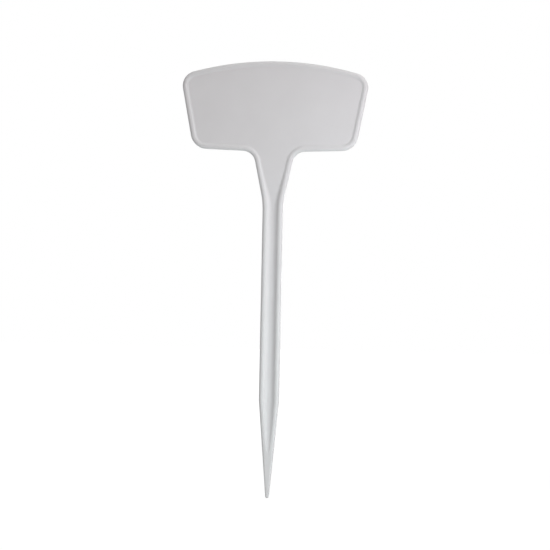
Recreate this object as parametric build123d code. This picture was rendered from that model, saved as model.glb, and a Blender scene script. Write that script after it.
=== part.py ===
from build123d import *
from math import asin, atan, cos, hypot, pi, radians, sin, sqrt, tan
import os

# Moulded plant label, in millimetres and degrees
# +Z runs up the stake, X across the plate, and the written side faces -Y.
# The origin is the tip of the stake, in the middle of its thickness.

# Whole label
overall_height = 200.0
thickness = 2.6  # flat back to the crown of the rim and rails

# Plate, measured to its sharp corners before they are rounded
plate_width = 87.2  # across the top
plate_height = 41.3  # middle of the top edge down to the corners of the neck
side_angle = 10.8  # lean of each side, in towards the stake
bottom_angle = 1.95  # rise of each bottom edge, towards its corner
top_radius = 141.0  # bow of the top edge
top_corner_radius = 6.8
bottom_corner_radius = 7.5

# Rim of the plate and rails of the stake, which are one continuous bead
shoulder_width = 1.25  # outer edge to the outer edge of the crown
rail_width = 1.4  # outer edge to the inner edge of the crown
wall_height = 1.2  # outer wall below the rounded shoulder
wall_draft = 3.0
rim_height = 0.5  # crown above the writing panel
rim_flank = 1.65  # width of the S-shaped flank between the crown and the panel
rim_round = 0.78  # rounded part of that flank, before it turns hollow

# Neck
neck_length = 23.2  # corners of the plate down to the sharp corner at the shaft
neck_angle = 11.9
neck_fillet = 6.0
neck_blend = 39.0  # easy curve into the shaft
neck_seat = 1.0  # straight side left on the plate's piece below the fillet
neck_spans = 8

# Stake
stake_width = 9.35
trough_depth = 1.3  # below the crown of the rails
trough_floor = 0.6  # flat left along the bottom of the trough
trough_round = 1.1  # rounded part of the trough's flanks, before they turn hollow
point_length = 44.9
trough_end = 20.5  # where the trough runs out, above the tip
trough_end_floor = 0.1  # width of its floor there
point_spans = 4
tip_radius = 0.87
tip_thickness = 1.2
tip_crown = 0.15  # half of the flat left on the front of the tip
tip_rings = 3
tip_turn = 80.0  # how far round the tip its last ring lies

# Heights and half widths that follow from them
stake_half = stake_width / 2
plate_bottom = overall_height - plate_height
shaft_corner = plate_bottom - neck_length
neck_half = stake_half + neck_length * tan(radians(neck_angle))
fillet_reach = neck_fillet * tan(radians(90 - neck_angle - bottom_angle) / 2)
neck_top = plate_bottom - fillet_reach * cos(radians(neck_angle)) - neck_seat
shaft_top = shaft_corner - neck_blend * tan(radians(neck_angle) / 2)
panel_thickness = thickness - rim_height
trough_flank = stake_half - rail_width - trough_floor / 2
wall_lean = wall_height * tan(radians(wall_draft))
tip_height = tip_radius * sin(radians(tip_turn))

back = Plane(origin=(0, thickness / 2, 0), x_dir=(1, 0, 0), z_dir=(0, -1, 0))
front = Vector(0, -1, 0)


def head_line(foot):
    """The outer edge of the plate, from the left side of the neck at height foot round to its right."""
    top_corner = overall_height - top_radius + sqrt(top_radius**2 - (plate_width / 2) ** 2)
    lean = tan(radians(side_angle))
    rise = tan(radians(bottom_angle))
    drop = top_corner - plate_bottom + neck_half * rise
    bottom_half = (plate_width / 2 - drop * lean) / (1 - rise * lean)
    bottom_corner = plate_bottom + (bottom_half - neck_half) * rise
    foot_half = stake_half + (foot - shaft_corner) * tan(radians(neck_angle))
    right = [
        (plate_width / 2, top_corner),
        (bottom_half, bottom_corner),
        (neck_half, plate_bottom),
        (foot_half, foot),
    ]
    left = [(-x, z) for x, z in reversed(right)]
    rounds = [(right[0], top_corner_radius), (right[1], bottom_corner_radius), (right[2], neck_fillet)]
    with BuildLine() as edge:
        Polyline(*left)
        ThreePointArc(left[-1], (0, overall_height), right[0])
        Polyline(*right)
        for (x, z), radius in rounds:
            corners = [edge.vertices().sort_by_distance((side * x, z))[0] for side in (-1, 1)]
            fillet(corners, radius)
    return edge.wire()


def bead_edges(half, flank, depth, rounding, stretch=1.0, ends=(shoulder_width, rail_width), high=thickness):
    """The bead's wall, shoulder, crown and flank, from its outer edge at half to the foot of the flank."""
    shoulder, rail = ends
    low = (thickness - high) / 2
    top = low + high
    share = high / thickness
    wall_top = (half - wall_lean * share * stretch, low + wall_height * share)
    crown_outer = (half - shoulder * stretch, top)
    crown_inner = (half - rail * stretch, top)
    turn = (half - (rail + rounding) * stretch, top - depth * rounding / flank)
    foot = (half - (rail + flank) * stretch, top - depth)
    if depth:
        inside = [TangentArc(crown_inner, turn, tangent=(-1, 0)), TangentArc(foot, turn, tangent=(1, 0))]
    else:
        inside = [Line(crown_inner, turn), Line(foot, turn)]
    shoulder_arc = TangentArc(crown_outer, wall_top, tangent=(1, 0))
    return [Line((half, low), wall_top), shoulder_arc, Line(crown_outer, crown_inner)] + inside


def writing_panel():
    """The flat face that is written on, out to the foot of the rim."""
    edge = head_line(neck_top - neck_fillet)
    outline = make_face(edge.edges() + [Line(edge @ 1, edge @ 0)])
    inside = offset(outline, amount=-(rail_width + rim_flank))
    slab = extrude(back * inside, amount=panel_thickness)
    return split(slab, bisect_by=Plane.XY.offset(neck_top), keep=Keep.TOP)


def plate_rim():
    """The bead round the panel: one section carried along the plate's outer edge."""
    path = back * head_line(neck_top - neck_seat)
    along = path % 0
    across = Plane(origin=path @ 0, x_dir=front.cross(along), z_dir=along)
    bead = bead_edges(0, rim_flank, rim_height, rim_round)
    foot = bead[-1] @ 0
    inside = Polyline(foot, (foot.X, 0), (0, 0))
    ring = sweep(across * make_face(bead + inside.edges()), path=path)
    return split(ring, bisect_by=Plane.XY.offset(neck_top), keep=Keep.TOP)


def level_face(z, right):
    """The cross-section at height z: these edges, their mirror image, a back and a floor."""
    left = [edge.mirror(Plane.YZ) for edge in right]
    ends = [right[0] @ 0, right[-1] @ 0]
    closing = [Line((-end.X, end.Y), (end.X, end.Y)) for end in ends]
    level = Plane(origin=(0, thickness / 2, z), x_dir=(1, 0, 0), z_dir=(0, 0, -1))
    return level * make_face(right + left + closing)


def shaft_section(z):
    """The stake's cross-section, with its trough at full depth."""
    return level_face(z, bead_edges(stake_half, trough_flank, trough_depth, trough_round))


def neck_section(z):
    """The neck's cross-section: its sides follow the outline, and its floor drops towards the stake."""
    blend_top = 2 * shaft_corner - shaft_top
    if z > shaft_corner + (blend_top - shaft_corner) * cos(radians(neck_angle)):
        half = stake_half + (z - shaft_corner) * tan(radians(neck_angle))
        stretch = 1 / cos(radians(neck_angle))
    else:
        half = stake_half + neck_blend - sqrt(neck_blend**2 - (z - shaft_top) ** 2)
        stretch = 1 / cos(asin((z - shaft_top) / neck_blend))
    share = (1 - cos(pi * (neck_top - z) / (neck_top - shaft_top))) / 2
    flank = rim_flank + (trough_flank / stretch - rim_flank) * share
    depth = rim_height + (trough_depth - rim_height) * share
    rounding = rim_round + (trough_round - rim_round) * share
    return level_face(z, bead_edges(half, flank, depth, rounding, stretch))


def neck():
    """The web between plate and stake, lofted through sections from one to the other."""
    drop = (neck_top - shaft_top) / neck_spans
    return loft([neck_section(neck_top - drop * step) for step in range(neck_spans + 1)], ruled=True)


def stake_shaft():
    """The straight part of the stake, one section pushed along it."""
    return extrude(shaft_section(shaft_top), amount=shaft_top - point_length)


def point_sizes(z):
    """The half width, the half width of the crown, and the thickness of the point at height z."""
    reach = hypot(stake_half, point_length - tip_radius)
    taper = atan(stake_half / (point_length - tip_radius)) - asin(tip_radius / reach)
    wide = (stake_half, stake_half - shoulder_width, thickness)
    narrow = (tip_radius * cos(taper), tip_crown, tip_thickness)
    share = (point_length - z) / (point_length - tip_height)
    return [first + (last - first) * share for first, last in zip(wide, narrow)]


def plain_section(z, half, crown, high):
    """A cross-section of the point below its trough, with a flat front."""
    low = (thickness - high) / 2
    share = high / thickness
    wall_top = (half - wall_lean * share, low + wall_height * share)
    shoulder = TangentArc((crown, low + high), wall_top, tangent=(1, 0))
    return level_face(z, [Line((half, low), wall_top), shoulder])


def point_section(share):
    """A cross-section of the point a share of the way down to the end of its trough."""
    z = point_length + (trough_end - point_length) * share
    half, crown, high = point_sizes(z)
    rail = half - crown + rail_width - shoulder_width
    floor = trough_floor + (trough_end_floor - trough_floor) * share
    flank = half - rail - floor / 2
    depth = trough_depth * (1 - share)
    return level_face(z, bead_edges(half, flank, depth, trough_round, 1.0, (half - crown, rail), high))


def stake_point():
    """The point: it narrows in straight lines to a round tip, and its trough runs out on the way."""
    troughed = loft([point_section(step / point_spans) for step in range(point_spans + 1)], ruled=True)
    tip = point_sizes(tip_height)
    rings = [plain_section(trough_end, *point_sizes(trough_end))]
    for ring in range(tip_rings + 1):
        turn = radians(tip_turn) * ring / tip_rings
        rings.append(plain_section(tip_height - tip_radius * sin(turn), *[size * cos(turn) for size in tip]))
    return troughed + loft(rings, ruled=True)


pieces = {
    "writing_panel": writing_panel(),
    "plate_rim": plate_rim(),
    "neck": neck(),
    "stake_shaft": stake_shaft(),
    "stake_point": stake_point(),
}

os.makedirs("parts", exist_ok=True)
for name, piece in pieces.items():
    export_step(piece, f"parts/{name}.step")
    size = piece.bounding_box().size
    print(f"{name}: {piece.volume:.1f} mm3, {size.X:.1f} x {size.Y:.1f} x {size.Z:.1f} mm")
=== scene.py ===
# %% [markdown]
# # A moulded plant label, dressed for its picture
#
# The label is one thin moulding in white plastic: a plate to write on, a raised rim round it, a neck, and
# a troughed stake with a point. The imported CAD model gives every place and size, in metres, with +Z up
# the stake and the written side towards -Y. This lesson lays a finer skin over each zone of the moulding,
# gives the skin its plastic, and sets the light and the camera.

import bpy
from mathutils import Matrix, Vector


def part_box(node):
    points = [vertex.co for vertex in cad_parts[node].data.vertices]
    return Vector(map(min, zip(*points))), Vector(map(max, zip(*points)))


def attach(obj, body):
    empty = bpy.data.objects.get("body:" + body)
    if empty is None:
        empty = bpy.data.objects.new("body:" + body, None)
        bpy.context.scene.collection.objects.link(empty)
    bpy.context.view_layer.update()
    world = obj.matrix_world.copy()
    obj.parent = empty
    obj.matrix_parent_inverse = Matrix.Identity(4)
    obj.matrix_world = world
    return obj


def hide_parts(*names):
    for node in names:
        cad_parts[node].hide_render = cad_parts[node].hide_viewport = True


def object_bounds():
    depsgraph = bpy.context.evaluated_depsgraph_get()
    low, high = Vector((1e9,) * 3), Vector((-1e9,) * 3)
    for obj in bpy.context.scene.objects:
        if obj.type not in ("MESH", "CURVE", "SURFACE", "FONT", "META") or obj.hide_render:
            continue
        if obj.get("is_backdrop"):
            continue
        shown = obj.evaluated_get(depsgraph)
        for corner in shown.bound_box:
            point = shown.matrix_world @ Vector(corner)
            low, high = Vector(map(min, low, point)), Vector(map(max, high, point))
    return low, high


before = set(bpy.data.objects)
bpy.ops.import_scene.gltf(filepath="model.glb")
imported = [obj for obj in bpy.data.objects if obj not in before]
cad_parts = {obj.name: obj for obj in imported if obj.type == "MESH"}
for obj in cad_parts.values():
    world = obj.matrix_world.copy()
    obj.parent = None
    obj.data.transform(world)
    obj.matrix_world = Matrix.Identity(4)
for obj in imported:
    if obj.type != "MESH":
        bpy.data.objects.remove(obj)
cad_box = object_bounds()
print("zones of the moulding:", ", ".join(sorted(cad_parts)))

# %% [markdown]
# A skin that is to lie exactly on a solid should take its sizes from that solid. The boxes round the CAD
# nodes give the main ones: the height, the thickness, where the neck starts and ends, how wide the stake
# is. Only what a box can't say, such as an angle or a radius, is written below as a value of its own.

# %% Sizes that the frame gives
from math import asin, atan, atan2, ceil, cos, hypot, pi, radians, sin, sqrt, tan

import bmesh
import bpy
from mathutils import Matrix, Quaternion, Vector
from mathutils.geometry import delaunay_2d_cdt
from mathutils.kdtree import KDTree

mm = 0.001
label_top = cad_box[1].z
back = cad_box[1].y
thickness = back - cad_box[0].y
panel_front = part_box("writing_panel")[0].y
neck_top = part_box("neck")[1].z
shaft_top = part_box("stake_shaft")[1].z
point_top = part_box("stake_shaft")[0].z
stake_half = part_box("stake_shaft")[1].x
print(f"{label_top / mm:.1f} mm tall and {thickness / mm:.2f} mm thick")
print(f"the stake is {2 * stake_half / mm:.2f} mm wide")

# %% [markdown]
# The plate's outer edge is a bowed top, two leaning sides, two bottom edges that rise a little outwards,
# and the two sides of the neck, with a round at every corner. A Bezier outline could be pulled into that
# shape by eye, but arcs and straight lines are what the mould was cut with. Each arc is written by the
# way into the plastic at its first and last point, as an angle, so a hollow round is only an arc with a
# negative radius.

# %% Sizes of the plate and its edges
plate_width = 87.2 * mm
plate_height = 41.3 * mm
top_radius = 141 * mm
top_corner_radius = 6.8 * mm
bottom_corner_radius = 7.5 * mm
neck_fillet = 6.0 * mm
neck_length = 23.2 * mm
side_angle = radians(10.8)
bottom_angle = radians(1.95)
neck_angle = radians(11.9)
way_in = {
    "top": radians(-90),
    "side": radians(-180) - side_angle,
    "bottom": radians(-270) + bottom_angle,
    "neck": radians(-180) - neck_angle,
}
plate_bottom = label_top - plate_height
shaft_corner = plate_bottom - neck_length
neck_half = stake_half + neck_length * tan(neck_angle)
print(f"neck meets the plate {2 * neck_half / mm:.1f} mm wide, at {plate_bottom / mm:.1f} mm")


# %% Centres of the rounds at the plate's corners
def along(angle):
    """The unit vector at an angle to +X, in the plane of the plate."""
    return Vector((cos(angle), sin(angle)))


def round_centre(first, second, radius):
    """The centre of the round between two edges, each given by a point and its way in."""
    rows = Matrix((along(first[1]), along(second[1])))
    reach = [along(angle).dot(point) + radius for point, angle in (first, second)]
    return rows.inverted() @ Vector(reach)


def top_corner_centre(bow, corner):
    """The centre of the round between the bowed top and a side."""
    inside = along(way_in["side"])
    down = Vector((-inside.y, inside.x))
    start = corner + inside * top_corner_radius - bow
    lead = start.dot(down)
    spare = start.length_squared - (top_radius - top_corner_radius) ** 2
    return bow + start - down * (lead + sqrt(lead**2 - spare))


bow_centre = Vector((0, label_top - top_radius))
top_corner = bow_centre + Vector((plate_width / 2, sqrt(top_radius**2 - (plate_width / 2) ** 2)))
neck_corner = Vector((neck_half, plate_bottom))
side = (top_corner, way_in["side"])
bottom = (neck_corner, way_in["bottom"])
neck_side = (neck_corner, way_in["neck"])
upper = top_corner_centre(bow_centre, top_corner)
lower = round_centre(side, bottom, bottom_corner_radius)
hollow = round_centre(bottom, neck_side, -neck_fillet)
print("rounds centred", [f"{centre.x / mm:.1f}, {centre.y / mm:.1f}" for centre in (upper, lower, hollow)])

# %% The arcs of the plate's outer edge, right half
bow_end = atan2(*(bow_centre - upper).yx)
edge_arcs = [
    (bow_centre, top_radius, way_in["top"], bow_end),
    (upper, top_corner_radius, bow_end, way_in["side"]),
    (lower, bottom_corner_radius, way_in["side"], way_in["bottom"]),
    (hollow, -neck_fillet, way_in["bottom"], way_in["neck"]),
]
print(len(edge_arcs), "arcs from the middle of the top edge to the neck")

# %% [markdown]
# A skin needs stations along that edge: points, each with its way in. On an arc they are close enough for
# the turn to look round, and on a straight stretch they only keep the faces from growing long. The last
# station lies on the level where the neck begins, so there the way in is level too, and a little longer.

# %% Stations round the plate
station_gap = 2.5 * mm
station_turn = radians(6)


def fill_straight(stations, end):
    """Adds the stations between the last one and the end of a straight stretch."""
    start, inside = stations[-1]
    steps = ceil((end - start).length / station_gap)
    for k in range(1, steps):
        stations.append((start.lerp(end, k / steps), inside))


def right_stations():
    """Points and ways in, from the middle of the top edge down to the neck."""
    stations = []
    for centre, radius, first, last in edge_arcs:
        turn = last - first
        steps = ceil(max(abs(turn) / station_turn, abs(turn * radius) / station_gap))
        if first == bow_end:
            stations.pop()
        elif stations:
            fill_straight(stations, centre - radius * along(first))
        for k in range(steps + 1):
            inside = along(first + turn * k / steps)
            stations.append((centre - radius * inside, inside))
    foot = Vector((stake_half + (neck_top - shaft_corner) * tan(neck_angle), neck_top))
    fill_straight(stations, foot)
    return stations + [(foot, Vector((-1 / cos(neck_angle), 0)))]


right = right_stations()
left = [(Vector((-p.x, p.y)), Vector((-w.x, w.y))) for p, w in reversed(right[1:])]
plate_stations = left + right
print(len(plate_stations), "stations from one side of the neck round to the other")

# %% [markdown]
# The rim of the plate and the rails of the stake are one bead that runs all the way round, so they share
# one section. From the back it goes up a drafted wall and over a round shoulder to the crown, and then
# down a flank that is shaped like an S: rounded at the crown, and hollow where it runs out flat into the
# panel or the trough. A bevel on a box would give as many faces but not that flank, and the flank is what
# catches the light. Each point of the section is a distance in from the outer edge and a height above the
# back.

# %% The section of the bead
shoulder_width = 1.25 * mm
rail_width = 1.4 * mm
wall_height = 1.2 * mm
wall_draft = radians(3)
wall_lean = wall_height * tan(wall_draft)
edge_round = 0.2 * mm
rim_flank = 1.65 * mm
rim_round = 0.78 * mm
rim_height = panel_front - cad_box[0].y
back_steps, shoulder_steps, crown_steps, flank_steps = 4, 9, 7, 9
outwards, inwards = Vector((-1, 0)), Vector((1, 0))


def between(first, last, share):
    """The value a share of the way from first to last."""
    return first + (last - first) * share


def arc(start, heading, end, steps):
    """Points on the arc that leaves start along a heading and reaches end."""
    chord = end - start
    turn = atan2(heading.x * chord.y - heading.y * chord.x, heading.dot(chord))
    points = [start]
    for k in range(1, steps + 1):
        part = turn * k / steps
        share = sin(part) / sin(turn)
        points.append(start + Matrix.Rotation(part, 2) @ heading * chord.length * share)
    return points


def bead_outside(foot, shoulder, high):
    """The bead's back from its foot, its wall, and its shoulder up to the crown."""
    share = high / thickness
    edge = edge_round * share
    back_line = [Vector((between(foot, edge, k / back_steps), 0)) for k in range(back_steps)]
    back_round = arc(Vector((edge, 0)), outwards, Vector((0, edge)), back_steps)
    wall_top = Vector((wall_lean, wall_height)) * share
    crown_edge = Vector((shoulder, high))
    return back_line + back_round + arc(crown_edge, outwards, wall_top, shoulder_steps)[::-1]


def bead_section(flank, depth, rounding, rail=rail_width, shoulder=shoulder_width, high=thickness):
    """The bead from the foot of its back, round its outside, to the foot of its flank."""
    crown = Vector((rail, high))
    foot = Vector((rail + flank, high - depth))
    turn = crown.lerp(foot, rounding / flank)
    flank_line = arc(crown, inwards, turn, crown_steps) + arc(foot, outwards, turn, flank_steps)[-2::-1]
    return bead_outside(foot.x, shoulder, high) + flank_line


rim_section = bead_section(rim_flank, rim_height, rim_round)
print(len(rim_section), "points in the bead's section")

# %% [markdown]
# Each zone becomes a closed mesh of its own. Its outside faces carry the look. Its meeting faces lie
# against the next zone, hidden inside the plastic, and only close it. The two kinds are listed apart,
# because the smooth shading at the end must take no notice of the hidden ones.

# %% A mesh from rings of points
zones = {}


def make_zone(name, corners, outside, meeting):
    """A closed mesh object, with its outside faces first."""
    mesh = bpy.data.meshes.new(name)
    mesh.from_pydata(corners, [], outside + meeting)
    skin = bmesh.new()
    skin.from_mesh(mesh)
    bmesh.ops.recalc_face_normals(skin, faces=skin.faces)
    open_edges = sum(not edge.is_manifold for edge in skin.edges)
    skin.to_mesh(mesh)
    skin.free()
    piece = bpy.data.objects.new(name, mesh)
    bpy.context.scene.collection.objects.link(piece)
    zones[name] = (piece, len(outside))
    print(f"{name}: {len(mesh.polygons)} faces, {open_edges} open edges")


def tube(rings, sides):
    """The faces between rings of points, on the sides that are named by their first point."""
    size = len(rings[0])
    return [
        (r * size + k, r * size + (k + 1) % size, (r + 1) * size + (k + 1) % size, (r + 1) * size + k)
        for r in range(len(rings) - 1)
        for k in sides
    ]


def end_faces(rings):
    """One face over the first ring and one over the last."""
    size = len(rings[0])
    last = size * (len(rings) - 1)
    return [tuple(range(size)), tuple(range(last, last + size))]


squares = [range(4), range(4)]
print("two rings of four points have", len(tube(squares, range(4))), "faces between them")

# %% [markdown]
# The rim is the raised edge that stiffens the plate. A curve with a bevel profile would sweep the section
# round the plate in one step, but it decides by itself where its points fall, and the panel has to meet
# them. So the section is set up at every station, square to the edge, and neighbouring ones are joined.

# %% The rim: the bead's section carried round the plate
rim_rings = []
for point, inside in plate_stations:
    spots = [(point + inside * step.x, back - step.y) for step in rim_section]
    rim_rings.append([Vector((spot.x, y, spot.y)) for spot, y in spots])
inner_side = len(rim_section) - 1
make_zone(
    "rim_moulding",
    [corner for ring in rim_rings for corner in ring],
    tube(rim_rings, range(inner_side)),
    tube(rim_rings, [inner_side]) + end_faces(rim_rings),
)

# %% [markdown]
# The panel is flat, so a single face would do for its front. Long thin triangles would then run right
# across it, and any later bend or print would show them. A Delaunay fill gives an even net instead: it
# keeps the points on the foot of the rim, which the two zones share, and takes a lattice of points in
# between.

# %% The writing panel
lattice = 3 * mm
row_gap = lattice * sqrt(0.75)
floor_columns = 4
fill_inside = 1
net_tolerance = mm / 1e6


def inside_loop(spot, loop):
    """Whether a point lies inside a closed loop, by the crossings to its right."""
    crossings = 0
    for a, b in zip(loop, loop[1:] + loop[:1]):
        if (a.y > spot.y) != (b.y > spot.y):
            crossings += between(a.x, b.x, (spot.y - a.y) / (b.y - a.y)) > spot.x
    return crossings % 2 == 1


panel_loop = [point + inside * rim_section[-1].x for point, inside in plate_stations]
foot = panel_loop[-1]
panel_loop += [Vector((foot.x * (1 - k / floor_columns), foot.y)) for k in range(1, 2 * floor_columns)]
columns, rows = ceil(plate_width / lattice / 2), ceil((label_top - neck_top) / row_gap)
lattice_spots = [
    Vector(((i + j % 2 / 2) * lattice, neck_top + (j + 0.5) * row_gap))
    for i in range(-columns, columns)
    for j in range(rows)
]
net_spots = panel_loop + [
    spot
    for spot in lattice_spots
    if inside_loop(spot, panel_loop) and min((spot - p).length for p in panel_loop) > lattice / 2
]
rim_size = len(panel_loop)
rim_loop = [list(range(rim_size))]
net, _, net_faces = delaunay_2d_cdt(net_spots, [], rim_loop, fill_inside, net_tolerance)[:3]
size = len(net)
make_zone(
    "panel_moulding",
    [Vector((spot.x, y, spot.y)) for y in (panel_front, back) for spot in net],
    [tuple(k + shift for k in face) for shift in (0, size) for face in net_faces],
    [(k, (k + 1) % rim_size, (k + 1) % rim_size + size, k + size) for k in range(rim_size)],
)

# %% [markdown]
# From the neck down, a level cut through the label shows a flat back and two beads, with the panel or the
# trough between them. So these zones are skins over level rings, all with equally many points. Each ring
# is the bead's section on the right, its mirror image on the left, and a few columns between them.


# %% Level rings through the neck and the stake
def level_ring(z, half, section, stretch=1.0, high=thickness):
    """A ring of points round the label at height z, from the middle of its back."""
    middle = back - (thickness - high) / 2
    spots = [(half - step.x * stretch, middle - step.y) for step in section]
    shares = [k / floor_columns for k in range(floor_columns)]
    back_half, back_y = spots[0]
    floor_half, floor_y = spots[-1]
    outline = [(back_half * share, back_y) for share in shares] + spots
    outline += [(floor_half * share, floor_y) for share in reversed(shares)]
    mirrored = [(-x, y) for x, y in outline[-2:0:-1]]
    return [Vector((x, y, z)) for x, y in outline + mirrored]


def make_stake_zone(name, rings):
    """A zone of the stake: a skin over its rings, closed at both ends."""
    corners = [corner for ring in rings for corner in ring]
    make_zone(name, corners, tube(rings, range(len(rings[0]))), end_faces(rings))


print(len(level_ring(shaft_top, stake_half, rim_section)), "points in a level ring")

# %% [markdown]
# The neck narrows in a straight line and then eases into the stake along a large arc. On the way down its
# floor sinks from the panel's level to the bottom of the trough, and the flanks widen until they meet. A
# loft between two end sections would do this in a straight line. The real neck does it slowly at first
# and at last, so a cosine shares out the change.

# %% The neck
neck_steps = 24
trough_depth = 1.3 * mm
trough_floor = 0.6 * mm
trough_round = 1.1 * mm
trough_flank = stake_half - rail_width - trough_floor / 2
blend_radius = (shaft_corner - shaft_top) / tan(neck_angle / 2)


def neck_ring(z):
    """The ring at height z of the neck."""
    climb = z - shaft_top
    if climb < blend_radius * sin(neck_angle):
        half = stake_half + blend_radius - sqrt(blend_radius**2 - climb**2)
        stretch = 1 / cos(asin(climb / blend_radius))
    else:
        half = stake_half + (z - shaft_corner) * tan(neck_angle)
        stretch = 1 / cos(neck_angle)
    share = (1 - cos(pi * (neck_top - z) / (neck_top - shaft_top))) / 2
    flank = between(rim_flank, trough_flank / stretch, share)
    depth = between(rim_height, trough_depth, share)
    section = bead_section(flank, depth, between(rim_round, trough_round, share))
    return level_ring(z, half, section, stretch)


neck_levels = [between(neck_top, shaft_top, k / neck_steps) for k in range(neck_steps + 1)]
make_stake_zone("neck_moulding", [neck_ring(z) for z in neck_levels])

# %% [markdown]
# The shaft is the plain part of the stake, with the same cut all the way down. Two rings would be enough
# to draw it. A ring every few millimetres keeps its faces short, so that it can still be bent later, as
# thin plastic bends.

# %% The shaft of the stake
shaft_steps = 30
shaft_section = bead_section(trough_flank, trough_depth, trough_round)
shaft_levels = [between(shaft_top, point_top, k / shaft_steps) for k in range(shaft_steps + 1)]
shaft_rings = [level_ring(z, stake_half, shaft_section) for z in shaft_levels]
make_stake_zone("shaft_moulding", shaft_rings)

# %% [markdown]
# In the point everything narrows at once: the width, the thickness on both sides, and the trough. A
# trough that only grew shallower would fade away. The real one rises out of a flat face as a groove does:
# it narrows slowly at first and closes quickly in a blunt V, and its light and dark side stay clear
# almost to the end. So the rings down to there are listed by how far the trough is still open, and its
# height above the end goes with the square of that. Below it the front is plain, and the rings are found
# point by point. The tip ends in a small round. A sharp tip would be easier to model, but a mould can't
# fill one, and a round one is safer.

# %% Sizes down the point
tip_radius = 0.87 * mm
tip_thickness = 1.2 * mm
tip_crown = 0.15 * mm
tip_turn = radians(80)
tip_height = tip_radius * sin(tip_turn)
reach = hypot(stake_half, point_top - tip_radius)
taper = atan(stake_half / (point_top - tip_radius)) - asin(tip_radius / reach)
tip_half = tip_radius * cos(taper)


def point_sizes(z):
    """The half width, the half width of the crown, and the thickness at height z of the point."""
    share = (point_top - z) / (point_top - tip_height)
    first = (stake_half, stake_half - shoulder_width, thickness)
    last = (tip_half, tip_crown, tip_thickness)
    return [between(a, b, share) for a, b in zip(first, last)]


print(f"the tip is {2 * tip_half / mm:.2f} mm wide where its round begins")

# %% Rings with the trough, and rings below it
trough_end = 20.5 * mm
last_opening = 0.02
depth_power = 1.6


def trough_ring(opening):
    """The ring where the trough is open to this share of its full width."""
    z = between(trough_end, point_top, opening**2)
    half, crown, high = point_sizes(z)
    rail = half - (trough_flank + trough_floor / 2) * opening
    flank, rounding = trough_flank * opening, trough_round * opening
    depth = trough_depth * opening**depth_power
    section = bead_section(flank, depth, rounding, rail, half - crown, high)
    return level_ring(z, half, section, 1.0, high)


def plain_ring(z, half, crown, high):
    """A ring with as many points as the trough's, and a flat front."""
    front_points = crown_steps + 1 + flank_steps
    gap = crown / (front_points + floor_columns)
    section = bead_outside(half - gap * floor_columns, half - crown, high)
    section += [Vector((half - crown + gap * k, high)) for k in range(1, front_points + 1)]
    return level_ring(z, half, section, 1.0, high)


def rings_between(first, last, steps):
    """The first ring and those between it and the last, found point by point."""
    return [[a.lerp(b, k / steps) for a, b in zip(first, last)] for k in range(steps)]


tip_sizes = point_sizes(tip_height)
tip_ring = plain_ring(tip_height, *tip_sizes)
print(len(tip_ring), "points in each ring")

# %% The point
trough_steps, plain_steps, tip_steps = 26, 10, 8
point_rings = [trough_ring(between(1, last_opening, k / trough_steps)) for k in range(trough_steps)]
point_rings += rings_between(trough_ring(last_opening), tip_ring, plain_steps)
for k in range(tip_steps):
    turn = radians(90) * k / tip_steps
    turned_sizes = [size * cos(turn) for size in tip_sizes]
    point_rings.append(plain_ring(tip_height * (1 - sin(turn)), *turned_sizes))
ring_size = len(tip_ring)
tip = ring_size * len(point_rings)
tip_faces = [(tip - ring_size + k, tip - ring_size + (k + 1) % ring_size, tip) for k in range(ring_size)]
make_zone(
    "point_moulding",
    [corner for ring in point_rings for corner in ring] + [Vector((0, back - thickness / 2, 0))],
    tube(point_rings, range(ring_size)) + tip_faces,
    end_faces(point_rings)[:1],
)

# %% [markdown]
# The real label has no seams, so the zones must shade as one surface. Smooth shading alone works inside
# each mesh: at an edge of a zone it knows only the faces on its own side, and a faint line would show. So
# every corner here takes its normal from the outside faces of all the zones that meet there, the larger
# face counting for more, which also keeps the flat faces flat.

# %% Normals that neighbouring zones share
same_spot = mm / 1000


def outside_pulls(piece, outside):
    """For each corner of a zone, the normals of its outside faces, added up by their area."""
    pulls = [Vector() for _ in piece.data.vertices]
    for face in piece.data.polygons[:outside]:
        for corner in face.vertices:
            pulls[corner] += face.normal * face.area
    return pulls


def share_normals(parts):
    """Gives the corners where zones meet one normal, and says how many corners there are."""
    spots = [corner.co for piece, _ in parts for corner in piece.data.vertices]
    pulls = [pull for part in parts for pull in outside_pulls(*part)]
    tree = KDTree(len(spots))
    for k, spot in enumerate(spots):
        tree.insert(spot, k)
    tree.balance()
    for piece, outside in parts:
        mesh = piece.data
        shared = []
        for corner in mesh.vertices:
            met = tree.find_range(corner.co, same_spot)
            shared.append(sum((pulls[k] for _, k, _ in met), Vector()).normalized())
        normals = []
        for face in mesh.polygons:
            face.use_smooth = True
            normals += [shared[k] if face.index < outside else face.normal for k in face.vertices]
        mesh.normals_split_custom_set(normals)
    return len(spots)


print(share_normals(list(zones.values())), "corners shaded as one surface")

# %% [markdown]
# A material is a small sum over the surface: how rough it is here, how pale it is there. Written as
# Python such a sum is one line, so the class below lets a shader socket be added, subtracted and
# multiplied, and each operator puts a Math node into the tree. Their reflected forms let a number come
# first, as in 1 - mask. One method makes any other node.


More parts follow.
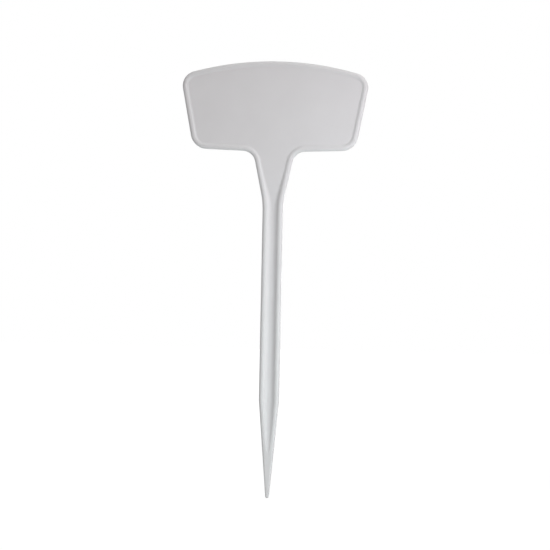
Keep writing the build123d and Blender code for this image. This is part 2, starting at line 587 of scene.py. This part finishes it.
# %% Sockets that Python can calculate with
class Wire:
    """A shader socket, or a bare tree to start from."""

    def __init__(self, tree, socket=None):
        self.tree = tree
        self.socket = socket

    def node(self, kind, settings=None, inputs=None, output=0):
        """Adds a node: its settings first, then its sockets, and gives the output that is asked for."""
        made = self.tree.nodes.new(kind)
        for name, value in (settings or {}).items():
            setattr(made, name, value)
        for name, value in (inputs or {}).items():
            if isinstance(value, Wire):
                self.tree.links.new(value.socket, made.inputs[name])
            else:
                made.inputs[name].default_value = value
        return Wire(self.tree, made.outputs[output] if made.outputs else None)

    def other(self, output):
        """Another output of the node that this socket belongs to."""
        return Wire(self.tree, self.socket.node.outputs[output])

    def math(self, operation, first, second):
        """A Math node on two values."""
        return self.node("ShaderNodeMath", {"operation": operation}, {0: first, 1: second})

    def __add__(self, value):
        return self.math("ADD", self, value)

    def __sub__(self, value):
        return self.math("SUBTRACT", self, value)

    def __rsub__(self, value):
        return self.math("SUBTRACT", value, self)

    def __mul__(self, value):
        return self.math("MULTIPLY", self, value)

    __radd__ = __add__
    __rmul__ = __mul__


def blank_tree(owner):
    """An empty shader tree of a material or a world."""
    owner.use_nodes = True
    owner.node_tree.nodes.clear()
    return Wire(owner.node_tree)


print("operators ready: + - *")

# %% [markdown]
# The plastic is white with a satin skin. It isn't pure white: pigment and flow leave broad, very faint
# patches. The panel has a fine matt grain that takes pencil, which fades out down the neck, while rim and
# rails are smoother. One flat colour with one roughness would look like paint, so noise at two sizes
# makes the patches, the change in gloss and the grain.


# %% Noise, and a smooth step
def noise(place, size, detail):
    """Noise with features of a given size."""
    inputs = {"Vector": place, "Scale": 1 / size, "Detail": detail}
    return place.node("ShaderNodeTexNoise", inputs=inputs, output="Fac")


def ramp(value, first, last):
    """0 up to first and 1 from last, with an easy change between them."""
    inputs = {"Value": value, "From Min": first, "From Max": last}
    return value.node("ShaderNodeMapRange", {"interpolation_type": "SMOOTHSTEP"}, inputs)


print("helpers ready: noise and ramp")

# %% The white plastic
plastic_tones = ((0.607, 0.594, 0.604, 1), (0.647, 0.634, 0.644, 1))
patch_size, patch_detail = 14 * mm, 3.0
grain_size, grain_detail = 0.18 * mm, 2.0
grain_depth = 0.012 * mm
smooth_grain = 0.2
smooth_roughness, matt_roughness, patch_roughness = 0.42, 0.08, 0.08
plastic_ior = 1.49
panel_edge = 0.1 * mm


def white_plastic():
    """The label's one material."""
    material = bpy.data.materials.new("white_plastic")
    start = blank_tree(material)
    place = start.node("ShaderNodeTexCoord", output="Object")
    y = start.node("ShaderNodeSeparateXYZ", inputs={"Vector": place}, output="Y")
    on_panel = ramp(y, panel_front - rim_height, panel_front - panel_edge)
    matt = on_panel * ramp(y.other("Z"), shaft_corner, plate_bottom)
    patches = noise(place, patch_size, patch_detail)
    grain = noise(place, grain_size, grain_detail)
    # A Mix node keeps the sockets of all its modes: for colours they are 0, 6 and 7, and output 2.
    tones = {0: patches, 6: plastic_tones[0], 7: plastic_tones[1]}
    colour = start.node("ShaderNodeMix", {"data_type": "RGBA"}, tones, output=2)
    height = grain * (smooth_grain + (1 - smooth_grain) * matt)
    raised = {"Strength": 1.0, "Distance": grain_depth, "Height": height}
    bump = start.node("ShaderNodeBump", inputs=raised)
    plastic = start.node(
        "ShaderNodeBsdfPrincipled",
        inputs={
            "Base Color": colour,
            "Roughness": smooth_roughness + matt_roughness * matt + patch_roughness * patches,
            "IOR": plastic_ior,
            "Normal": bump,
        },
    )
    start.node("ShaderNodeOutputMaterial", inputs={"Surface": plastic})
    return material


plastic = white_plastic()
print(plastic.name, "has", len(plastic.node_tree.nodes), "nodes")

# %% [markdown]
# Every zone now gets the plastic, takes the place of its CAD node, and rides on the label's one body.

# %% Zones on the frame
stands_for = {
    "panel_moulding": "writing_panel",
    "rim_moulding": "plate_rim",
    "neck_moulding": "neck",
    "shaft_moulding": "stake_shaft",
    "point_moulding": "stake_point",
}
for name, node in stands_for.items():
    piece = zones[name][0]
    piece.data.materials.append(plastic)
    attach(piece, "root")
    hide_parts(node)
    print(name, "stands for", node)

# %% [markdown]
# A product picture on white needs a floor that looks white without lighting the label from below like a
# lamp. Light Path tells what kind of ray arrives. To the camera, and to reflections, the floor is mostly
# plain white. Round the tip a share of its true shading is left in, so that the shadow there stays, and
# further off that share fades out, because the lamps don't reach so far. To all other rays it is an
# ordinary grey floor. The world does the same: white to the camera, a faint grey light to the label.

# %% Rays that show the floor and the world
white = (1, 1, 1, 1)


def shown_rays(start):
    """1 for a ray from the camera or a reflection, and 0 for light on the label."""
    path = start.node("ShaderNodeLightPath", output="Is Camera Ray")
    return path + path.other("Is Glossy Ray") + path.other("Is Transmission Ray")


print("helper ready: shown_rays")

# %% The floor
floor_reach = 2.0
floor_tone = (0.7, 0.7, 0.7, 1)
shading_shown = 0.15
floor_glow = 1.11
shadow_reach = (0.15, 0.60)


def make_floor():
    """A wide floor at the level of the tip, white to the camera but for the shadow."""
    mesh = bpy.data.meshes.new("floor")
    corners = [(x * floor_reach, y * floor_reach, 0) for x, y in ((-1, -1), (1, -1), (1, 1), (-1, 1))]
    mesh.from_pydata(corners, [], [(0, 1, 2, 3)])
    floor = bpy.data.objects.new("floor", mesh)
    bpy.context.scene.collection.objects.link(floor)
    material = bpy.data.materials.new("pale_floor")
    start = blank_tree(material)
    place = start.node("ShaderNodeTexCoord", output="Object")
    distance = start.node("ShaderNodeVectorMath", {"operation": "LENGTH"}, {0: place}, output="Value")
    near = 1 - ramp(distance, *shadow_reach)
    matt = start.node("ShaderNodeBsdfDiffuse", inputs={"Color": floor_tone})
    bright = start.node("ShaderNodeEmission", inputs={"Color": white, "Strength": floor_glow})
    whiteness = shown_rays(start) * (1 - shading_shown * near)
    mixed = start.node("ShaderNodeMixShader", inputs={0: whiteness, 1: matt, 2: bright})
    start.node("ShaderNodeOutputMaterial", inputs={"Surface": mixed})
    mesh.materials.append(material)
    floor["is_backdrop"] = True


make_floor()
print(f"floor {2 * floor_reach:.0f} m wide, its shading shown to {shadow_reach[1]} m from the tip")

# %% The world
ambient = (0.24, 0.24, 0.24, 1)


def make_world():
    """White to the camera, and an even soft light to everything else."""
    world = bpy.data.worlds.new("studio")
    bpy.context.scene.world = world
    start = blank_tree(world)
    light = start.node("ShaderNodeBackground", inputs={"Color": ambient, "Strength": 1.0})
    sight = start.node("ShaderNodeBackground", inputs={"Color": white, "Strength": 1.0})
    mixed = start.node("ShaderNodeMixShader", inputs={0: shown_rays(start), 1: light, 2: sight})
    start.node("ShaderNodeOutputWorld", inputs={"Surface": mixed})


make_world()
print("ambient light:", ambient[0])

# %% [markdown]
# Six soft lights, all square. A window on the right brightens what faces right and leaves the left side
# of every rail in half shade. One box overhead lights the edges that face up, so the rim stays pale along
# the top and bottom of the plate. A large warm box behind the camera fills the flat faces in front, and
# another one opposite does so for the back. Two small lamps stand close, because only a near lamp falls
# off within the length of a label: a cool one, low in front of the stake, brightens it towards the tip,
# and one beside the plate makes its panel paler towards the right. None of them shows to the camera, from
# any side.

# %% The lights
light_aim = Vector((0, 0, 0.55 * label_top))


def make_light(name, place, size, power, tint):
    """A square area light, turned to the middle of the label."""
    lamp = bpy.data.lights.new(name, "AREA")
    lamp.size = size
    lamp.energy = power
    lamp.color = tint
    light = bpy.data.objects.new(name, lamp)
    light.visible_camera = False
    light.location = place
    light.rotation_mode = "QUATERNION"
    way = light_aim - light.location
    light.rotation_quaternion = way.to_track_quat("-Z", "Y")
    bpy.context.scene.collection.objects.link(light)
    print(f"{name}: {power} W, {way.length:.2f} m away")


make_light("window", (0.27, -0.16, 0.10), size=0.25, power=0.38, tint=(1, 0.89, 0.89))
make_light("overhead", (0.10, -0.10, 0.70), size=0.40, power=1.72, tint=(0.93, 1, 0.97))
make_light("front_box", (0, -1.8, 0.30), size=1.0, power=6.6, tint=(1, 0.84, 0.86))
make_light("back_box", (0, 1.8, 0.30), size=1.0, power=18, tint=(1, 1, 1))
make_light("low_lamp", (0.10, -0.16, 0.02), size=0.10, power=0.184, tint=(0.74, 1, 0.98))
make_light("plate_lamp", (0.10, -0.08, 0.16), size=0.06, power=0.0195, tint=(0.90, 0.89, 1))

# %% [markdown]
# The picture was taken almost square to the plate, a little from the right, with the label turned a
# degree clockwise in the frame. A long lens keeps the sides of the stake parallel. The picture's width at
# the label is known in millimetres, so the lens follows from the camera's distance.

# %% The camera
picture_width = 251.7 * mm
camera_distance = 1.0
camera_azimuth = radians(4)
camera_roll = radians(1.15)
aim = Vector((1.65 * mm, 0, 102.17 * mm))
towards = Vector((sin(camera_azimuth), -cos(camera_azimuth), 0))
lens = bpy.data.cameras.new("camera")
lens.sensor_width = 36
lens.lens = lens.sensor_width * camera_distance / picture_width
camera = bpy.data.objects.new("camera", lens)
camera.location = aim + towards * camera_distance
camera.rotation_mode = "QUATERNION"
camera.rotation_quaternion = (-towards).to_track_quat("-Z", "Y") @ Quaternion((0, 0, 1), camera_roll)
bpy.context.scene.collection.objects.link(camera)
bpy.context.scene.camera = camera
bpy.context.scene.view_settings.view_transform = "Standard"
print(f"{lens.lens:.0f} mm lens at {camera_distance} m")

# %% [markdown]
# A finer skin must not make the label bigger or smaller. The box round the solids was kept at the start,
# and it is written down here beside the box round the skins, so that the two can be compared.

# %% The sizes, before and after
dressed_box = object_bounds()
grown = [round((d - c) / mm, 4) for a, b in zip(cad_box, dressed_box) for c, d in zip(a, b)]
print("grown by", grown, "mm")
